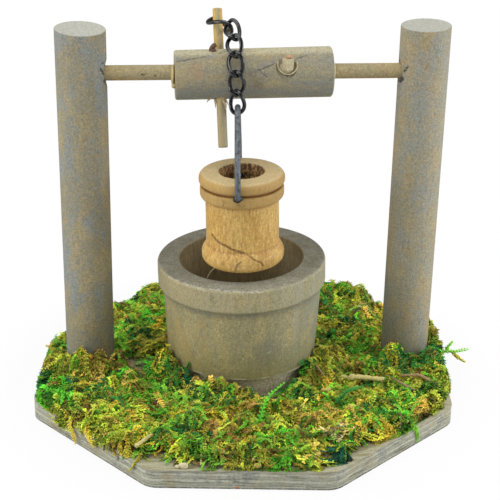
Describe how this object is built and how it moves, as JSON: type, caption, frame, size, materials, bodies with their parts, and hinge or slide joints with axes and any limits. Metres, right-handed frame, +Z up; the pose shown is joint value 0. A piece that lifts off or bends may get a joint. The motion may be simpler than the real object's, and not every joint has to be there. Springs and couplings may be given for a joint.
{
  "type": "miniature wishing well",
  "caption": "Miniature wishing well: an octagonal mossy plate, a turned tub between two posts, and a windlass whose chain carries a turned bucket on a wire bail.",
  "frame": {"origin": "centre of the octagonal plate's underside, on the table", "axes": "+Z up; +X along the windlass towards the right post as seen from the front; -Y towards the front"},
  "size_m": [0.1396, 0.1395, 0.1274],
  "materials": {
    "plywood": "weathered plywood, open grain",
    "post_wood": "weathered grey-brown stain",
    "tub_wood": "weathered grey-brown stain",
    "roller_wood": "weathered grey-brown stain",
    "stub_wood": "weathered stain",
    "bamboo": "split bamboo",
    "dowel_wood": "cut dowel end",
    "bucket_wood": "turned and waxed",
    "gunmetal": "gunmetal, half gloss",
    "bail_wire": "blue-grey coated wire",
    "screw_steel": "dull zinc",
    "moss": "dyed preserved moss, matt"
  },
  "bodies": {
    "stand": {"base_plate": "plywood", "left_post": "post_wood", "right_post": "post_wood", "well_tub": "tub_wood", "base_screws": "screw_steel", "moss_tuft_1": "moss", "moss_tuft_2": "moss", "moss_tuft_3": "moss", "moss_tuft_4": "moss", "moss_tuft_5": "moss", "moss_tuft_6": "moss", "moss_tuft_7": "moss", "moss_tuft_8": "moss"},
    "windlass": {"windlass_roller": "roller_wood", "left_axle_stub": "stub_wood", "right_axle_stub": "stub_wood", "handle_peg": "bamboo", "cross_dowel": "dowel_wood", "chain_link_1": "gunmetal"},
    "link_2": {"chain_link_2": "gunmetal"},
    "link_3": {"chain_link_3": "gunmetal"},
    "link_4": {"chain_link_4": "gunmetal"},
    "link_5": {"chain_link_5": "gunmetal"},
    "link_6": {"chain_link_6": "gunmetal"},
    "bail": {"bail": "bail_wire"},
    "bucket": {"bucket": "bucket_wood"}
  },
  "joints": [
    {"name": "windlass_turn", "type": "hinge", "parent": "stand", "child": "windlass", "pos_m": [0, 0, 0.1088], "axis": [1, 0, 0], "range_deg": [-18, 12]},
    {"name": "link_2_turn", "type": "hinge", "parent": "windlass", "child": "link_2", "pos_m": [-0.00654, 0.0018, 0.12364], "axis": [1, 0, 0], "range_deg": [-15, 0]},
    {"name": "link_3_turn", "type": "hinge", "parent": "link_2", "child": "link_3", "pos_m": [-0.00496, -0.00311, 0.12052], "axis": [1, 0, 0], "range_deg": [-20, 0]},
    {"name": "link_4_turn", "type": "hinge", "parent": "link_3", "child": "link_4", "pos_m": [-0.00496, -0.0072, 0.11628], "axis": [1, 0, 0], "range_deg": [-20, 0]},
    {"name": "link_5_turn", "type": "hinge", "parent": "link_4", "child": "link_5", "pos_m": [-0.00461, -0.00969, 0.11095], "axis": [1, 0, 0], "range_deg": [-20, 0]},
    {"name": "link_6_turn", "type": "hinge", "parent": "link_5", "child": "link_6", "pos_m": [-0.0043, -0.0101, 0.10509], "axis": [1, 0, 0], "range_deg": [-12, 18]},
    {"name": "bail_swing", "type": "hinge", "parent": "link_6", "child": "bail", "pos_m": [-0.0041, -0.0101, 0.0992], "axis": [1, 0, 0], "range_deg": [-20, 20]},
    {"name": "bucket_tilt", "type": "hinge", "parent": "bail", "child": "bucket", "pos_m": [-0.0035, -0.0101, 0.0758], "axis": [0.0958, 0.9954, 0], "range_deg": [-25, 25]}
  ],
  "couplings": [
    {"joint": "link_6_turn", "follows": "windlass_turn", "ratio": -1}
  ]
}
